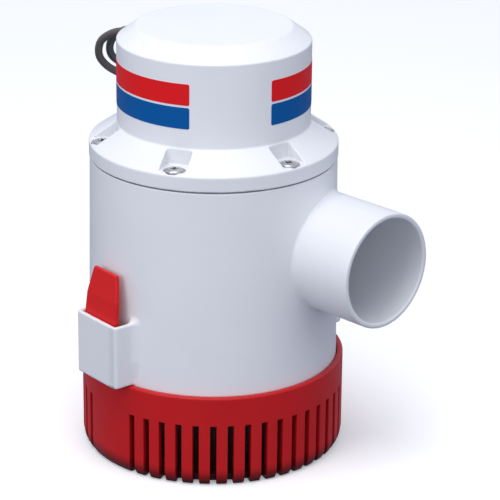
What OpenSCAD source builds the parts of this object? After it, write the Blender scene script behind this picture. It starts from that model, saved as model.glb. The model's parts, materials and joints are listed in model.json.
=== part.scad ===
// Large submersible bilge pump: quick-release strainer base, pump housing with a
// side discharge, sealed motor under a stepped cover, and the motor's own parts.
// Frame: origin on the pump's axis at the underside of the strainer, +Z up the
// axis, +X along the discharge spigot. Millimetres.

/* [Strainer base] */
// Outside diameter of the strainer wall
strainer_d = 119; // [118:0.5:121]
// Height of the strainer's rim above the floor it stands on
strainer_h = 42.2; // [41.5:0.1:43]
// Number of slot positions round the strainer
slot_count = 48; // [36:6:60]
// Width of one strainer slot
slot_w = 2.7; // [2:0.1:3.2]
// Height of the slots' upper ends
slot_top = 28.6; // [20:0.2:32]
// Diameter of the circle that the base screw holes lie on
base_pcd = 76.2; // [60:0.2:84]
// Radius of one base screw hole
base_hole_r = 2.75; // [2:0.05:3.2]

/* [Housing] */
// Outside diameter of the housing at the strainer's rim
housing_d = 112.8; // [112:0.1:113]
// Outside diameter of the housing at its top edge
housing_top_d = 110.2; // [109:0.1:111]
// Height of the housing's top edge
housing_top = 135.3; // [134:0.1:137]
// Thickness of the housing wall
housing_wall = 2.8; // [2.4:0.1:3.2]

/* [Discharge] */
// Outside diameter of the discharge spigot
outlet_d = 52; // [50:0.2:53]
// Inside diameter of the discharge spigot
outlet_bore = 47.2; // [44:0.1:47.6]
// Height of the spigot's axis
outlet_z = 98; // [95:0.1:102]
// Sideways distance from the pump's axis to the spigot's axis
outlet_offset = 20.5; // [18:0.5:22]
// Distance from the pump's axis to the plane of the spigot's mouth
outlet_reach = 87; // [80:0.2:100]

/* [Release] */
// Direction of the first release tab, counted from the discharge
tab_angle = -96; // [-100:0.5:-80]
// Width of a release tab where it leaves its pocket
tab_w = 22.4; // [18:0.2:23]
// Height of a release tab's upper end
tab_top = 93; // [88:0.5:96]
// Outside width of the pocket that guides a tab
pocket_w = 29; // [28:0.5:31]
// Distance from the pump's axis to a pocket's outer face
pocket_face = 65.6; // [65.4:0.1:67]
// Height of a pocket's upper edge
pocket_top = 71.6; // [68:0.2:74]

/* [Motor cover] */
// Diameter of the cover's flange
flange_d = 110.8; // [109:0.2:112]
// Diameter of the cover's cap
cap_d = 85.8; // [85:0.2:87]
// Diameter of the cap's flat top
cap_flat_d = 68.8; // [60:0.2:76]
// Height of the whole pump
cap_top = 194.5; // [193:0.1:196]
// Number of cover screws
screw_count = 6; // [6:6]
// Direction of the first cover screw, counted from the discharge
screw_angle = -3.5; // [-6:0.5:6]
// Radius of the circle that the cover screws lie on
screw_circle = 49.8; // [49.4:0.1:50.2]

/* [Leads] */
// Outside diameter of one supply lead
lead_d = 3.6; // [3.4:0.1:3.8]

/* [Hidden] */

$fn = 96;
white = [0.9, 0.92, 0.95];
red = [0.7, 0.1, 0.12];
steel = [0.7, 0.7, 0.72];
copper = [0.75, 0.42, 0.22];
rubber = [0.12, 0.12, 0.13];

// A cut reaches this far past the face that it goes through
past = 1;
// Gap between parts that slide or turn past each other
play = 0.3;

tab_angles = [tab_angle, tab_angle + 180];
screw_angles = [for (i = [0 : screw_count - 1]) screw_angle + i * 360 / screw_count];

// --- Strainer base -------------------------------------------------------------
strainer_r = strainer_d / 2;
strainer_floor = 3;
// The housing's skirt stands on a ledge inside the rim
ledge_z = 38.2;
socket_r = housing_d / 2 + 0.4;
screen_r = socket_r - 1.6;
foot_chamfer = 1.9;
slot_pitch = 360 / slot_count;
slot_depth_r = screen_r - 1.4;
// Slots within this angle of a tab are left out
plain_angle = 1.5 * slot_pitch;
groove_w = 0.9;
groove_depth = 0.7;
boss_r = 6.5;
boss_h = 2.5;
rib_w = 2;
rib_h = 5;
rib_count = 8;

module round_about(angles) {
    for (a = angles) rotate([0, 0, a]) children();
}

function from_tab(a) = min([for (t = tab_angles) abs((a - t + 540) % 360 - 180)]);

module strainer_shell() {
    rotate_extrude()
        polygon([
            [0, 0], [strainer_r - foot_chamfer, 0], [strainer_r - 0.5, 2.4],
            [strainer_r, 5], [strainer_r, strainer_h - 0.5],
            [strainer_r - 0.5, strainer_h], [socket_r, strainer_h],
            [socket_r, ledge_z], [screen_r, ledge_z], [screen_r, strainer_floor],
            [0, strainer_floor]
        ]);
}

module strainer_slots() {
    angles = [for (i = [0 : slot_count - 1]) tab_angle + i * slot_pitch];
    round_about([for (a = angles) if (from_tab(a) > plain_angle) a])
        translate([slot_depth_r, -slot_w / 2, -past])
            cube([strainer_r - slot_depth_r + past, slot_w, slot_top + past]);
}

module tab_panel_grooves() {
    groove_angle = asin(tab_w / 2 / strainer_r);
    round_about([for (t = tab_angles, s = [-1, 1]) t + s * groove_angle])
        translate([strainer_r - groove_depth, -groove_w / 2, -past])
            cube([groove_depth + past, groove_w, strainer_h + 2 * past]);
}

module strainer_ribs() {
    inner_r = base_pcd / 2 + boss_r - 2;
    round_about([for (i = [0 : rib_count - 1]) (i + 0.5) * 360 / rib_count])
        translate([inner_r, -rib_w / 2, strainer_floor - past])
            cube([slot_depth_r - inner_r, rib_w, rib_h + past]);
}

module strainer_base() {
    color(red)
        difference() {
            union() {
                difference() {
                    strainer_shell();
                    strainer_slots();
                    tab_panel_grooves();
                }
                round_about([0, 90, 180, 270])
                    translate([base_pcd / 2, 0, strainer_floor - past])
                        cylinder(r = boss_r, h = boss_h + past);
                strainer_ribs();
            }
            round_about([0, 90, 180, 270])
                translate([base_pcd / 2, 0, -past])
                    cylinder(r = base_hole_r, h = strainer_floor + boss_h + 2 * past);
        }
}

// --- Release tabs --------------------------------------------------------------
pocket_wall = 2.2;
tab_t = 2.3;
tab_tip_t = 1.9;
// Outer face of the tab where it stands in the pocket
tab_face = pocket_face - pocket_wall - play;
tab_tip_w = 16.4;
// How far the tab's face stands inwards at its shoulders and at its tip
shoulder_lean = 1;
tab_lean = 3.2;
tab_shoulder_w = tab_w - 0.8;
tab_shoulder_z = 81;
// The foot stands on the rim, and the tab steps out from it into the pocket
tab_foot_z = strainer_h + 0.25;
foot_outer_x = strainer_r - 0.5;
foot_inner_x = socket_r + 0.4;

module tab_side_profile() {
    polygon([
        [foot_outer_x, tab_foot_z], [foot_outer_x, tab_foot_z + 1.2],
        [tab_face, tab_foot_z + 6], [tab_face, pocket_top],
        [tab_face - shoulder_lean, tab_shoulder_z], [tab_face - tab_lean, tab_top],
        [tab_face - tab_lean - tab_tip_t, tab_top],
        [tab_face - shoulder_lean - tab_t, tab_shoulder_z - 1],
        [tab_face - tab_t, pocket_top - 2], [tab_face - tab_t, tab_foot_z + 7],
        [foot_inner_x, tab_foot_z + 2.4], [foot_inner_x, tab_foot_z]
    ]);
}

module tab_front_outline() {
    polygon([
        [-tab_w / 2, tab_foot_z - past], [tab_w / 2, tab_foot_z - past],
        [tab_w / 2, pocket_top], [tab_shoulder_w / 2, tab_shoulder_z],
        [tab_tip_w / 2, tab_top + past], [-tab_tip_w / 2, tab_top + past],
        [-tab_shoulder_w / 2, tab_shoulder_z], [-tab_w / 2, pocket_top]
    ]);
}

module release_tab(angle) {
    color(red)
        rotate([0, 0, angle])
            intersection() {
                rotate([90, 0, 0])
                    linear_extrude(tab_w, center = true) tab_side_profile();
                rotate([90, 0, 90])
                    linear_extrude(pocket_face) tab_front_outline();
            }
}

module release_tab_front() {
    release_tab(tab_angles[0]);
}

module release_tab_rear() {
    release_tab(tab_angles[1]);
}

// --- Pump housing --------------------------------------------------------------
housing_r = housing_d / 2;
housing_top_r = housing_top_d / 2;
skirt_z = ledge_z + 0.1;
chamber_floor = 44;
chamber_floor_t = 3;
eye_r = 23.5;
eye_collar_r = 26.5;
eye_collar_z = 39;
outlet_r = outlet_d / 2;
bore_r = outlet_bore / 2;
mouth_chamfer = 0.8;
pocket_bottom = strainer_h + 0.3;
pocket_in_w = pocket_w - 2 * pocket_wall;
pocket_root_x = 53.5;
outlet_root_x = 24;
// The spigot widens a little towards the housing wall, from here inwards
flare_end_x = 60;
root_flare = 0.9;
bore_start_x = 26;
// The motor pod's flange sits in a recess on an inner ring at the top
pod_ring_r = 42;
pod_recess_r = 46.6;
pod_ring_z = 131.9;
pod_recess_z = 133.4;
screw_boss_r = 4.2;
screw_boss_z = 124;
screw_r = 1.9;
screw_hole_r = 2.05;

// Outer radius of the drafted wall at height z
function wall_r(z) =
    housing_r + (housing_top_r - housing_r) * (z - strainer_h) / (housing_top - strainer_h);

module housing_shell() {
    inner_low = wall_r(chamber_floor) - housing_wall;
    inner_high = wall_r(pod_ring_z) - housing_wall;
    rotate_extrude()
        polygon([
            [eye_r, eye_collar_z], [eye_collar_r, eye_collar_z],
            [eye_collar_r, chamber_floor], [housing_r - 3, chamber_floor],
            [housing_r - 3, skirt_z], [housing_r, skirt_z], [housing_r, strainer_h],
            [housing_top_r, housing_top], [pod_recess_r, housing_top],
            [pod_recess_r, pod_recess_z], [pod_ring_r, pod_recess_z],
            [pod_ring_r, pod_ring_z], [inner_high, pod_ring_z],
            [inner_low, chamber_floor + chamber_floor_t], [eye_r, chamber_floor + chamber_floor_t]
        ]);
}

// An open sleeve: the tab passes up through it
module pocket_sleeve() {
    height = pocket_top - pocket_bottom;
    translate([pocket_root_x, 0, pocket_bottom])
        difference() {
            translate([0, -pocket_w / 2, 0])
                cube([pocket_face - pocket_root_x, pocket_w, height]);
            translate([-past, -pocket_in_w / 2, -past])
                cube([pocket_face - pocket_wall - pocket_root_x + past, pocket_in_w,
                      height + 2 * past]);
        }
}

// The spigot leaves the housing off to one side, as the water turns round the axis
module outlet_tube() {
    translate([0, outlet_offset, outlet_z])
        rotate([0, 90, 0])
            rotate_extrude()
                polygon([
                    [0, outlet_root_x], [outlet_r + root_flare, outlet_root_x],
                    [outlet_r, flare_end_x], [outlet_r, outlet_reach - mouth_chamfer],
                    [outlet_r - mouth_chamfer, outlet_reach], [0, outlet_reach]
                ]);
}

module outlet_opening() {
    translate([bore_start_x, outlet_offset, outlet_z])
        rotate([0, 90, 0]) cylinder(r = bore_r, h = outlet_reach);
}

module housing_inside() {
    translate([0, 0, chamber_floor])
        cylinder(r1 = wall_r(chamber_floor) - housing_wall / 2,
                 r2 = wall_r(housing_top) - housing_wall / 2,
                 h = housing_top - chamber_floor);
}

module pump_housing() {
    color(white)
        difference() {
            union() {
                difference() {
                    union() {
                        housing_shell();
                        round_about(tab_angles) pocket_sleeve();
                        difference() {
                            outlet_tube();
                            housing_inside();
                        }
                    }
                    outlet_opening();
                }
                round_about(screw_angles)
                    translate([screw_circle, 0, screw_boss_z])
                        cylinder(r = screw_boss_r, h = pod_ring_z + 1 - screw_boss_z);
            }
            round_about(screw_angles)
                translate([screw_circle, 0, screw_boss_z - past])
                    cylinder(r = screw_hole_r, h = housing_top);
        }
}

// --- Joint between housing and cover ---------------------------------------------
gasket_t = 0.6;
cover_z = housing_top + gasket_t;

module housing_gasket() {
    color(rubber)
        translate([0, 0, housing_top])
            difference() {
                cylinder(r = housing_top_r - 0.2, h = gasket_t);
                translate([0, 0, -past])
                    cylinder(r = pod_recess_r + 0.2, h = gasket_t + 2 * past);
                round_about(screw_angles)
                    translate([screw_circle, 0, -past])
                        cylinder(r = screw_hole_r, h = gasket_t + 2 * past);
            }
}

// --- Motor cover -----------------------------------------------------------------
flange_r = flange_d / 2;
flange_top = 142.5;
cap_r = cap_d / 2;
cap_flat_r = cap_flat_d / 2;
shoulder_top = 150.9;
cap_edge_z = cap_top - 6.1;
cover_wall = 2.6;
channel_floor = 143.2;
channel_w = 11.8;
channel_start = cap_r + 0.3;
// Each screw head sits in a round well in the channel's floor
well_floor = 142;
well_r = 4.8;
grommet_z = 180;
grommet_w = 11;
grommet_h = 6.4;
seal_ring_r = 44.3;
seal_ring_t = 1.2;

// A flat slab with round ends, lying across the X axis
module oblong(width, height, depth) {
    rotate([0, 90, 0])
        linear_extrude(depth) {
            translate([0, (width - height) / 2]) circle(r = height / 2);
            translate([0, (height - width) / 2]) circle(r = height / 2);
            square([height, width - height], center = true);
        }
}

module cover_shell() {
    inner_r = cap_r - cover_wall;
    inner_flat_r = cap_flat_r - 1.2;
    rotate_extrude()
        polygon([
            [inner_r, cover_z], [flange_r, cover_z], [flange_r, flange_top - 0.4],
            [flange_r - 0.4, flange_top], [cap_r, shoulder_top], [cap_r, cap_edge_z],
            [cap_flat_r, cap_top], [0, cap_top], [0, cap_top - cover_wall],
            [inner_flat_r, cap_top - cover_wall], [inner_r, cap_edge_z - 1]
        ]);
}

// A radial channel with a flat floor leads out from the cap's wall to each screw
module screw_channel() {
    translate([channel_start, -channel_w / 2, channel_floor])
        cube([flange_r - channel_start + past, channel_w, shoulder_top]);
    translate([screw_circle, 0, well_floor]) cylinder(r = well_r, h = shoulder_top);
}

module motor_cover() {
    color(white)
        difference() {
            cover_shell();
            round_about(screw_angles) {
                screw_channel();
                translate([screw_circle, 0, cover_z - past])
                    cylinder(r = screw_hole_r + 0.2, h = well_floor - cover_z + 2 * past);
            }
            translate([0, 0, cover_z])
                rotate_extrude()
                    translate([seal_ring_r - 1.4, -past]) square([2.8, 1.9 + past]);
            translate([-cap_r - past, 0, grommet_z])
                oblong(grommet_w - 1.2, grommet_h - 1.2, cover_wall + 3 * past);
        }
}

// --- Cover screws ------------------------------------------------------------------
head_r = 4;
head_h = 2.2;
screw_end_z = screw_boss_z + 1;
recess_w = 1.1;
recess_l = 4;
recess_depth = 1.2;

module cover_screw() {
    head_top = well_floor + head_h;
    difference() {
        rotate_extrude()
            polygon([
                [0, screw_end_z], [screw_r, screw_end_z], [screw_r, well_floor],
                [head_r, well_floor], [head_r, head_top - 1],
                [head_r - 1, head_top], [0, head_top]
            ]);
        for (a = [0, 90])
            rotate([0, 0, a])
                translate([-recess_l / 2, -recess_w / 2, head_top - recess_depth])
                    cube([recess_l, recess_w, recess_depth + past]);
    }
}

module cover_screws() {
    color(steel)
        round_about(screw_angles)
            translate([screw_circle, 0, 0]) cover_screw();
}

// --- Motor pod: the sealed lower half of the motor's housing ---------------------------
pod_r = 39.5;
pod_bore_r = 37.3;
pod_floor = 66;
pod_floor_t = 3;
pod_flange_t = 1.8;
seal_r = 8;
seal_z = 62.2;
seal_h = 4.4;
shaft_r = 4;
shaft_hole_r = 4.6;

module pod_seal_ring() {
    color(rubber)
        translate([0, 0, pod_recess_z + pod_flange_t + 0.1 + seal_ring_t])
            rotate_extrude() translate([seal_ring_r, 0]) circle(r = seal_ring_t);
}

module motor_pod() {
    flange_z = pod_recess_z + pod_flange_t;
    color(white)
        rotate_extrude()
            polygon([
                [seal_r + 0.05, pod_floor - 4], [12, pod_floor - 4], [12, pod_floor],
                [pod_r - 2, pod_floor], [pod_r, pod_floor + 2], [pod_r, pod_recess_z],
                [pod_recess_r - 0.2, pod_recess_z], [pod_recess_r - 0.2, flange_z],
                [pod_bore_r, flange_z], [pod_bore_r, pod_floor + pod_floor_t],
                [shaft_hole_r, pod_floor + pod_floor_t], [shaft_hole_r, seal_z + seal_h],
                [seal_r + 0.05, seal_z + seal_h]
            ]);
}

module shaft_seal() {
    color(rubber)
        translate([0, 0, seal_z])
            difference() {
                cylinder(r = seal_r, h = seal_h);
                translate([0, 0, -past]) cylinder(r = shaft_r + 0.05, h = seal_h + 2 * past);
                translate([0, 0, -past]) cylinder(r = 6.4, h = 2 + past);
            }
}

// --- Motor: still parts ------------------------------------------------------------------
can_r = 36.8;
can_t = 2;
can_low = 69.2;
can_top = 166;
can_bore_r = can_r - can_t;
// Plates and bells slide into the can with this gap
can_fit = 0.1;
plate_z = 72;
plate_t = 3;
plate_hub_h = 10;
plate_hub_wall = 3;
plate_hole_r = 6;
bearing_r = 11;
bearing_bore_r = 4.02;
bearing_h = 7;
bearing_z = 75;
race_outer_in_r = 9.75;
race_inner_out_r = 5.75;
ball_r = 1.9;
ball_count = 7;
bolt_circle = 31.8;
bolt_r = 1.6;
core_r = 27.6;
core_low = 88;
core_top = 137;
air_gap = 0.8;
magnet_angle = 124;
magnet_overhang = 4;
bell_t = 3;
bell_hub_r = 10;
bell_hub_h = 15;
bell_hole_r = 5;
bolt_head_r = 3;
bolt_head_h = 2.4;
bolt_slot_w = 1;
bolt_slot_depth = 1;
bushing_r = 7;
bushing_z = 165.5;
bushing_h = 10;
holder_low = 148.5;
holder_h = 9;
holder_w = 8;
holder_in = 13;
holder_out = 32;
holder_wall = 1.2;
post_w = 6;
brush_w = 5.4;
brush_h = 6.4;
brush_gap = 0.1;
brush_low = holder_low + holder_wall + brush_gap;
commutator_r = 11;
commutator_low = 146;
commutator_h = 14;
riser_h = 2.2;
riser_r = 13;
brush_tip = commutator_r + play;
brush_back = 22;
terminal_w = 5;
terminal_t = 0.8;
terminal_top = 176;
terminal_x = holder_out - 3;

module tube(inner, outer, height) {
    difference() {
        cylinder(r = outer, h = height);
        translate([0, 0, -past]) cylinder(r = inner, h = height + 2 * past);
    }
}

module motor_can() {
    color(steel)
        translate([0, 0, can_low]) tube(can_bore_r, can_r, can_top - can_low);
}

module drive_end_plate() {
    color(steel)
        difference() {
            union() {
                translate([0, 0, plate_z]) cylinder(r = can_bore_r - can_fit, h = plate_t);
                translate([0, 0, plate_z])
                    cylinder(r = bearing_r + plate_hub_wall, h = plate_hub_h);
            }
            translate([0, 0, bearing_z]) cylinder(r = bearing_r + 0.02, h = bearing_h + past);
            translate([0, 0, plate_z - past])
                cylinder(r = plate_hole_r, h = bearing_z - plate_z + 2 * past);
            round_about([90, 270])
                translate([bolt_circle, 0, plate_z - past])
                    cylinder(r = bolt_r + 0.05, h = plate_t + 2 * past);
        }
}

module brush_end_bell() {
    bell_low = can_top - bell_t;
    color([0.15, 0.15, 0.16])
        difference() {
            union() {
                translate([0, 0, can_top]) cylinder(r = can_r, h = bell_t);
                translate([0, 0, bell_low]) cylinder(r = can_bore_r - can_fit, h = bell_t);
                translate([0, 0, bell_low]) cylinder(r = bell_hub_r, h = bell_hub_h);
            }
            translate([0, 0, bushing_z]) cylinder(r = bushing_r + 0.02, h = bushing_h);
            translate([0, 0, bell_low - past])
                cylinder(r = bell_hole_r, h = bushing_z - bell_low + 2 * past);
            round_about([90, 270])
                translate([bolt_circle, 0, bell_low - past])
                    cylinder(r = bolt_r + 0.2, h = 2 * bell_t + 2 * past);
            round_about([0, 180])
                translate([terminal_x, 0, can_top])
                    cube([terminal_t + 0.4, terminal_w + 0.4, 4 * bell_t], center = true);
        }
}

module motor_tie_bolts() {
    bolt_low = can_low + 1.5;
    head_low = can_top + bell_t;
    color(steel)
        round_about([90, 270])
            translate([bolt_circle, 0, 0]) {
                translate([0, 0, bolt_low]) cylinder(r = bolt_r, h = head_low - bolt_low);
                difference() {
                    translate([0, 0, head_low]) cylinder(r = bolt_head_r, h = bolt_head_h);
                    translate([-bolt_head_r - past, -bolt_slot_w / 2,
                               head_low + bolt_head_h - bolt_slot_depth])
                        cube([2 * bolt_head_r + 2 * past, bolt_slot_w, bolt_slot_depth + past]);
                }
            }
}

module field_magnets() {
    magnet_in_r = core_r + air_gap;
    color([0.25, 0.25, 0.27])
        round_about([0, 180])
            translate([0, 0, core_low - magnet_overhang])
                rotate([0, 0, -magnet_angle / 2])
                    rotate_extrude(angle = magnet_angle)
                        translate([magnet_in_r, 0])
                            square([can_bore_r - can_fit - magnet_in_r,
                                    core_top - core_low + 2 * magnet_overhang]);
}

module lower_bearing_outer_race() {
    color(steel)
        translate([0, 0, bearing_z]) tube(race_outer_in_r, bearing_r, bearing_h);
}

module upper_bushing() {
    color([0.7, 0.5, 0.28])
        translate([0, 0, bushing_z + 0.1]) tube(shaft_r + 0.05, bushing_r, bushing_h - 0.2);
}

// A brass box round each brush, on a post from the bell, with its terminal blade
module brush_holders() {
    color([0.78, 0.62, 0.32])
        round_about([0, 180])
            difference() {
                union() {
                    translate([holder_in, -holder_w / 2, holder_low])
                        cube([holder_out - holder_in, holder_w, holder_h]);
                    translate([holder_in + 2, -post_w / 2, holder_low])
                        cube([post_w, post_w, can_top - bell_t - can_fit - holder_low]);
                    translate([terminal_x - terminal_t / 2, -terminal_w / 2, holder_low])
                        cube([terminal_t, terminal_w, terminal_top - holder_low]);
                }
                translate([holder_in - past, -brush_w / 2 - brush_gap, brush_low - brush_gap])
                    cube([holder_out - holder_in, brush_w + 2 * brush_gap,
                          brush_h + 2 * brush_gap]);
            }
}

module carbon_brushes() {
    color([0.2, 0.2, 0.21])
        round_about([0, 180])
            translate([brush_tip, -brush_w / 2, brush_low])
                cube([brush_back - brush_tip, brush_w, brush_h]);
}

// --- Swept wires --------------------------------------------------------------------------
function unit(v) = v / norm(v);

// Direction of a route at its point i
function heading(points, i) =
    unit(points[min(i + 1, len(points) - 1)] - points[max(i - 1, 0)]);

// One ring of a wire round the route's point i; side is never parallel to the route
function ring(points, i, radius, sides, side) =
    let (t = heading(points, i), u = unit(cross(t, side)), v = cross(u, t))
    [for (k = [0 : sides - 1])
        points[i] + radius * (cos(k * 360 / sides) * u + sin(k * 360 / sides) * v)];

module wire(points, radius, sides, side) {
    rings = len(points);
    polyhedron(
        points = [for (i = [0 : rings - 1]) each ring(points, i, radius, sides, side)],
        faces = concat(
            [[for (k = [0 : sides - 1]) k]],
            [for (i = [0 : rings - 2], k = [0 : sides - 1])
                [i * sides + k, (i + 1) * sides + k,
                 (i + 1) * sides + (k + 1) % sides, i * sides + (k + 1) % sides]],
            [[for (k = [sides - 1 : -1 : 0]) (rings - 1) * sides + k]]
        )
    );
}

spring_r = 2.2;
spring_turns = 5;
spring_steps = 10;
spring_wire_r = 0.3;

module brush_springs() {
    start_x = brush_back + spring_wire_r + 0.1;
    length = terminal_x - terminal_t / 2 - spring_wire_r - 0.1 - start_x;
    steps = spring_turns * spring_steps;
    coil = [
        for (i = [0 : steps])
            [start_x + length * i / steps,
             spring_r * cos(i * 360 / spring_steps),
             brush_low + brush_h / 2 + spring_r * sin(i * 360 / spring_steps)]
    ];
    color(steel)
        round_about([0, 180]) wire(coil, spring_wire_r, 6, [1, 0, 0]);
}

// --- Supply leads ---------------------------------------------------------------------------
lead_r = lead_d / 2;
lead_sides = 8;
// Offset of each lead from the middle of the grommet
lead_gap = 2.5;
grommet_face_x = 47.5;
lead_side = [0.72, -0.69, 0];

inner_black_route = [
    [-31.4, 0, 174], [-31.6, 1.5, 177.5], [-33, 2.5, 179.6], [-36, 2.5, 180],
    [-grommet_face_x, lead_gap, grommet_z]
];
inner_brown_route = [
    [31.4, 0, 174], [30.5, -4, 178], [26, -12, 181.5], [18, -19, 183.5], [8, -22.5, 184.5],
    [-4, -22.5, 184.5], [-15, -18, 183.5], [-24, -11, 182], [-31, -5, 180.5],
    [-37, -2.5, 180], [-grommet_face_x, -lead_gap, grommet_z]
];
brown_route = [
    [-grommet_face_x, -lead_gap, grommet_z], [-55.5, -2.5, 180], [-63, -3.5, 178],
    [-69.5, -5, 173], [-72.5, -3.5, 165.5], [-72, 1, 159.5], [-69, 7, 155],
    [-66.5, 13, 150], [-65, 17.5, 143.5], [-64, 20.5, 136], [-63.5, 21.5, 128],
    [-63.5, 22.5, 120], [-64, 23.5, 112], [-64, 24, 104], [-64, 24.5, 96], [-64, 25, 88],
    [-64.5, 25.5, 79.5], [-65, 25.5, 71.5], [-65, 26, 63.5], [-65.5, 26, 55.5],
    [-65.5, 27, 47.5], [-64, 28.5, 39.5], [-62, 30.5, 32], [-58, 34.5, 26],
    [-53, 39.5, 22], [-47.5, 45.5, 21]
];
black_route = [
    [-grommet_face_x, lead_gap, grommet_z], [-56, 2.5, 180], [-63.5, 1.5, 177.5],
    [-69.5, 1, 171.5], [-72, 3.5, 164.5], [-71, 9.5, 159], [-68.5, 15.5, 153.5],
    [-67.5, 20, 146.5], [-67, 23, 139], [-67, 24, 130.5], [-67, 25, 122.5],
    [-67.5, 25.5, 114], [-67.5, 26, 106], [-67.5, 26.5, 97.5], [-67.5, 26.5, 89.5],
    [-68, 27, 81], [-68, 27.5, 73], [-68.5, 28, 64.5], [-69, 28, 56], [-68.5, 29, 48],
    [-67, 30.5, 40], [-65, 33, 32.5], [-61, 37, 26.5], [-56, 42, 22.5], [-50.5, 48, 21]
];

coil_centre = [-64, 61, 0];
coil_in_r = 17.2;
coil_out_r = 24.4;
coil_low = 0.8;
coil_high = 19;
tie_t = 0.8;
tie_w = 4;
tie_slack = 0.3;

module lead_black() {
    color(rubber) wire(black_route, lead_r, lead_sides, lead_side);
}

module lead_brown() {
    color([0.25, 0.16, 0.12]) wire(brown_route, lead_r, lead_sides, lead_side);
}

module inner_lead_black() {
    color(rubber) wire(inner_black_route, lead_r, lead_sides, [0, 0.3, 1]);
}

module inner_lead_brown() {
    color([0.25, 0.16, 0.12]) wire(inner_brown_route, lead_r, lead_sides, [0, 0.3, 1]);
}

module lead_coil() {
    color(rubber)
        translate(coil_centre + [0, 0, coil_low])
            tube(coil_in_r, coil_out_r, coil_high - coil_low);
}

// A strap looped once round the coil's bundle of turns
module coil_tie() {
    width = coil_out_r - coil_in_r + tie_slack;
    height = coil_high + lead_d + 0.2 - coil_low;
    color([0.2, 0.2, 0.2])
        translate(coil_centre)
            rotate([0, 0, 90])
                translate([coil_in_r - tie_slack - tie_t, -tie_w / 2, 0])
                    difference() {
                        cube([width + 2 * tie_t, tie_w, height + 2 * tie_t]);
                        translate([tie_t, -past, tie_t]) cube([width, tie_w + 2 * past, height]);
                    }
}

module lead_grommet() {
    color(rubber)
        difference() {
            union() {
                translate([-grommet_face_x, 0, grommet_z])
                    oblong(grommet_w - 1.6, grommet_h - 1.2, grommet_face_x - cap_r - 1.4);
                translate([-cap_r - 1.6, 0, grommet_z])
                    oblong(grommet_w + 2, grommet_h + 2, 1.6);
                translate([-cap_r - past, 0, grommet_z])
                    oblong(grommet_w - 1.4, grommet_h - 1.4, cover_wall + 1.6 * past);
            }
            for (y = [-lead_gap, lead_gap])
                translate([-grommet_face_x - past, y, grommet_z])
                    rotate([0, 90, 0]) cylinder(r = lead_r + 0.05, h = 12);
        }
}

// --- Colour bands on the cap --------------------------------------------------------------------
band_t = 0.2;
band_h = 10;
red_band_z = 169.6;
blue_band_z = 159.6;
// Start and sweep of the two band segments
band_arcs = [[-143, 85], [-9, 85]];

module trim_band(low) {
    for (arc = band_arcs)
        rotate([0, 0, arc[0]])
            rotate_extrude(angle = arc[1])
                translate([cap_r, low]) square([band_t, band_h]);
}

module trim_band_red() {
    color(red) trim_band(red_band_z);
}

module trim_band_blue() {
    color([0.05, 0.3, 0.6]) trim_band(blue_band_z);
}

// --- Rotor ----------------------------------------------------------------------------------------
thread_r = 3;
thread_low = 42;
shaft_shoulder = 47.8;
shaft_top = 174.5;
slot_n = 12;
slot_centre_r = 21.5;
slot_r = 3.4;
slot_neck = 2.2;
bar_r = 3.1;
// End turns stand on the core's faces, the taller ones on the commutator's side
turns_in_r = 9;
turns_out_r = 25.4;
low_turns_h = 4.6;
high_turns_h = 6.4;
// The cuts between the commutator's bars
gap_w = 0.6;
gap_depth = 0.8;
impeller_r = 33;
impeller_low = 47.8;
backplate_low = 58;
backplate_t = 2.5;
hub_r = 8.5;
hub_top = 61.6;
vane_count = 5;
vane_t = 2.4;
vane_arc_r = 20;
washer_r = 7;
washer_t = 1.2;
nut_r = 5.8;
nut_h = 4;

module motor_shaft() {
    color(steel) {
        translate([0, 0, shaft_shoulder]) cylinder(r = shaft_r, h = shaft_top - shaft_shoulder);
        translate([0, 0, thread_low]) cylinder(r = thread_r, h = shaft_shoulder - thread_low);
    }
}

module lower_bearing_inner_race() {
    color(steel)
        translate([0, 0, bearing_z]) tube(bearing_bore_r, race_inner_out_r, bearing_h);
}

module lower_bearing_balls() {
    color(steel)
        round_about([for (i = [0 : ball_count - 1]) i * 360 / ball_count])
            translate([(race_outer_in_r + race_inner_out_r) / 2, 0, bearing_z + bearing_h / 2])
                sphere(r = ball_r);
}

module armature_core() {
    color([0.45, 0.46, 0.48])
        translate([0, 0, core_low])
            linear_extrude(core_top - core_low)
                difference() {
                    circle(r = core_r);
                    circle(r = bearing_bore_r);
                    for (i = [0 : slot_n - 1])
                        rotate(i * 360 / slot_n) {
                            translate([slot_centre_r, 0]) circle(r = slot_r);
                            translate([slot_centre_r, -slot_neck / 2]) square([10, slot_neck]);
                        }
                }
}

// One bundle of end turns, a ring with rounded shoulders that stands on z = 0
module end_turns(height) {
    outer = turns_out_r;
    inner = turns_in_r;
    rotate_extrude()
        polygon([
            [inner, 0], [outer, 0], [outer, height * 0.5], [outer - 2.4, height * 0.9],
            [outer - 5.4, height], [inner + 4, height], [inner + 1, height * 0.8],
            [inner, height * 0.4]
        ]);
}

module armature_windings() {
    color(copper) {
        translate([0, 0, core_low - 0.1]) mirror([0, 0, 1]) end_turns(low_turns_h);
        translate([0, 0, core_top + 0.1]) end_turns(high_turns_h);
        round_about([for (i = [0 : slot_n - 1]) i * 360 / slot_n])
            translate([slot_centre_r, 0, core_low - 1])
                cylinder(r = bar_r, h = core_top - core_low + 2);
    }
}

module commutator() {
    color(copper)
        difference() {
            union() {
                translate([0, 0, commutator_low]) cylinder(r = commutator_r, h = commutator_h);
                translate([0, 0, commutator_low - riser_h + past])
                    cylinder(r = riser_r, h = riser_h);
            }
            translate([0, 0, commutator_low - riser_h])
                cylinder(r = bearing_bore_r, h = commutator_h + riser_h + past);
            round_about([for (i = [0 : slot_n - 1]) (i + 0.5) * 360 / slot_n])
                translate([commutator_r - gap_depth, -gap_w / 2, commutator_low - riser_h])
                    cube([riser_r, gap_w, commutator_h + riser_h + past]);
        }
}

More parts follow.
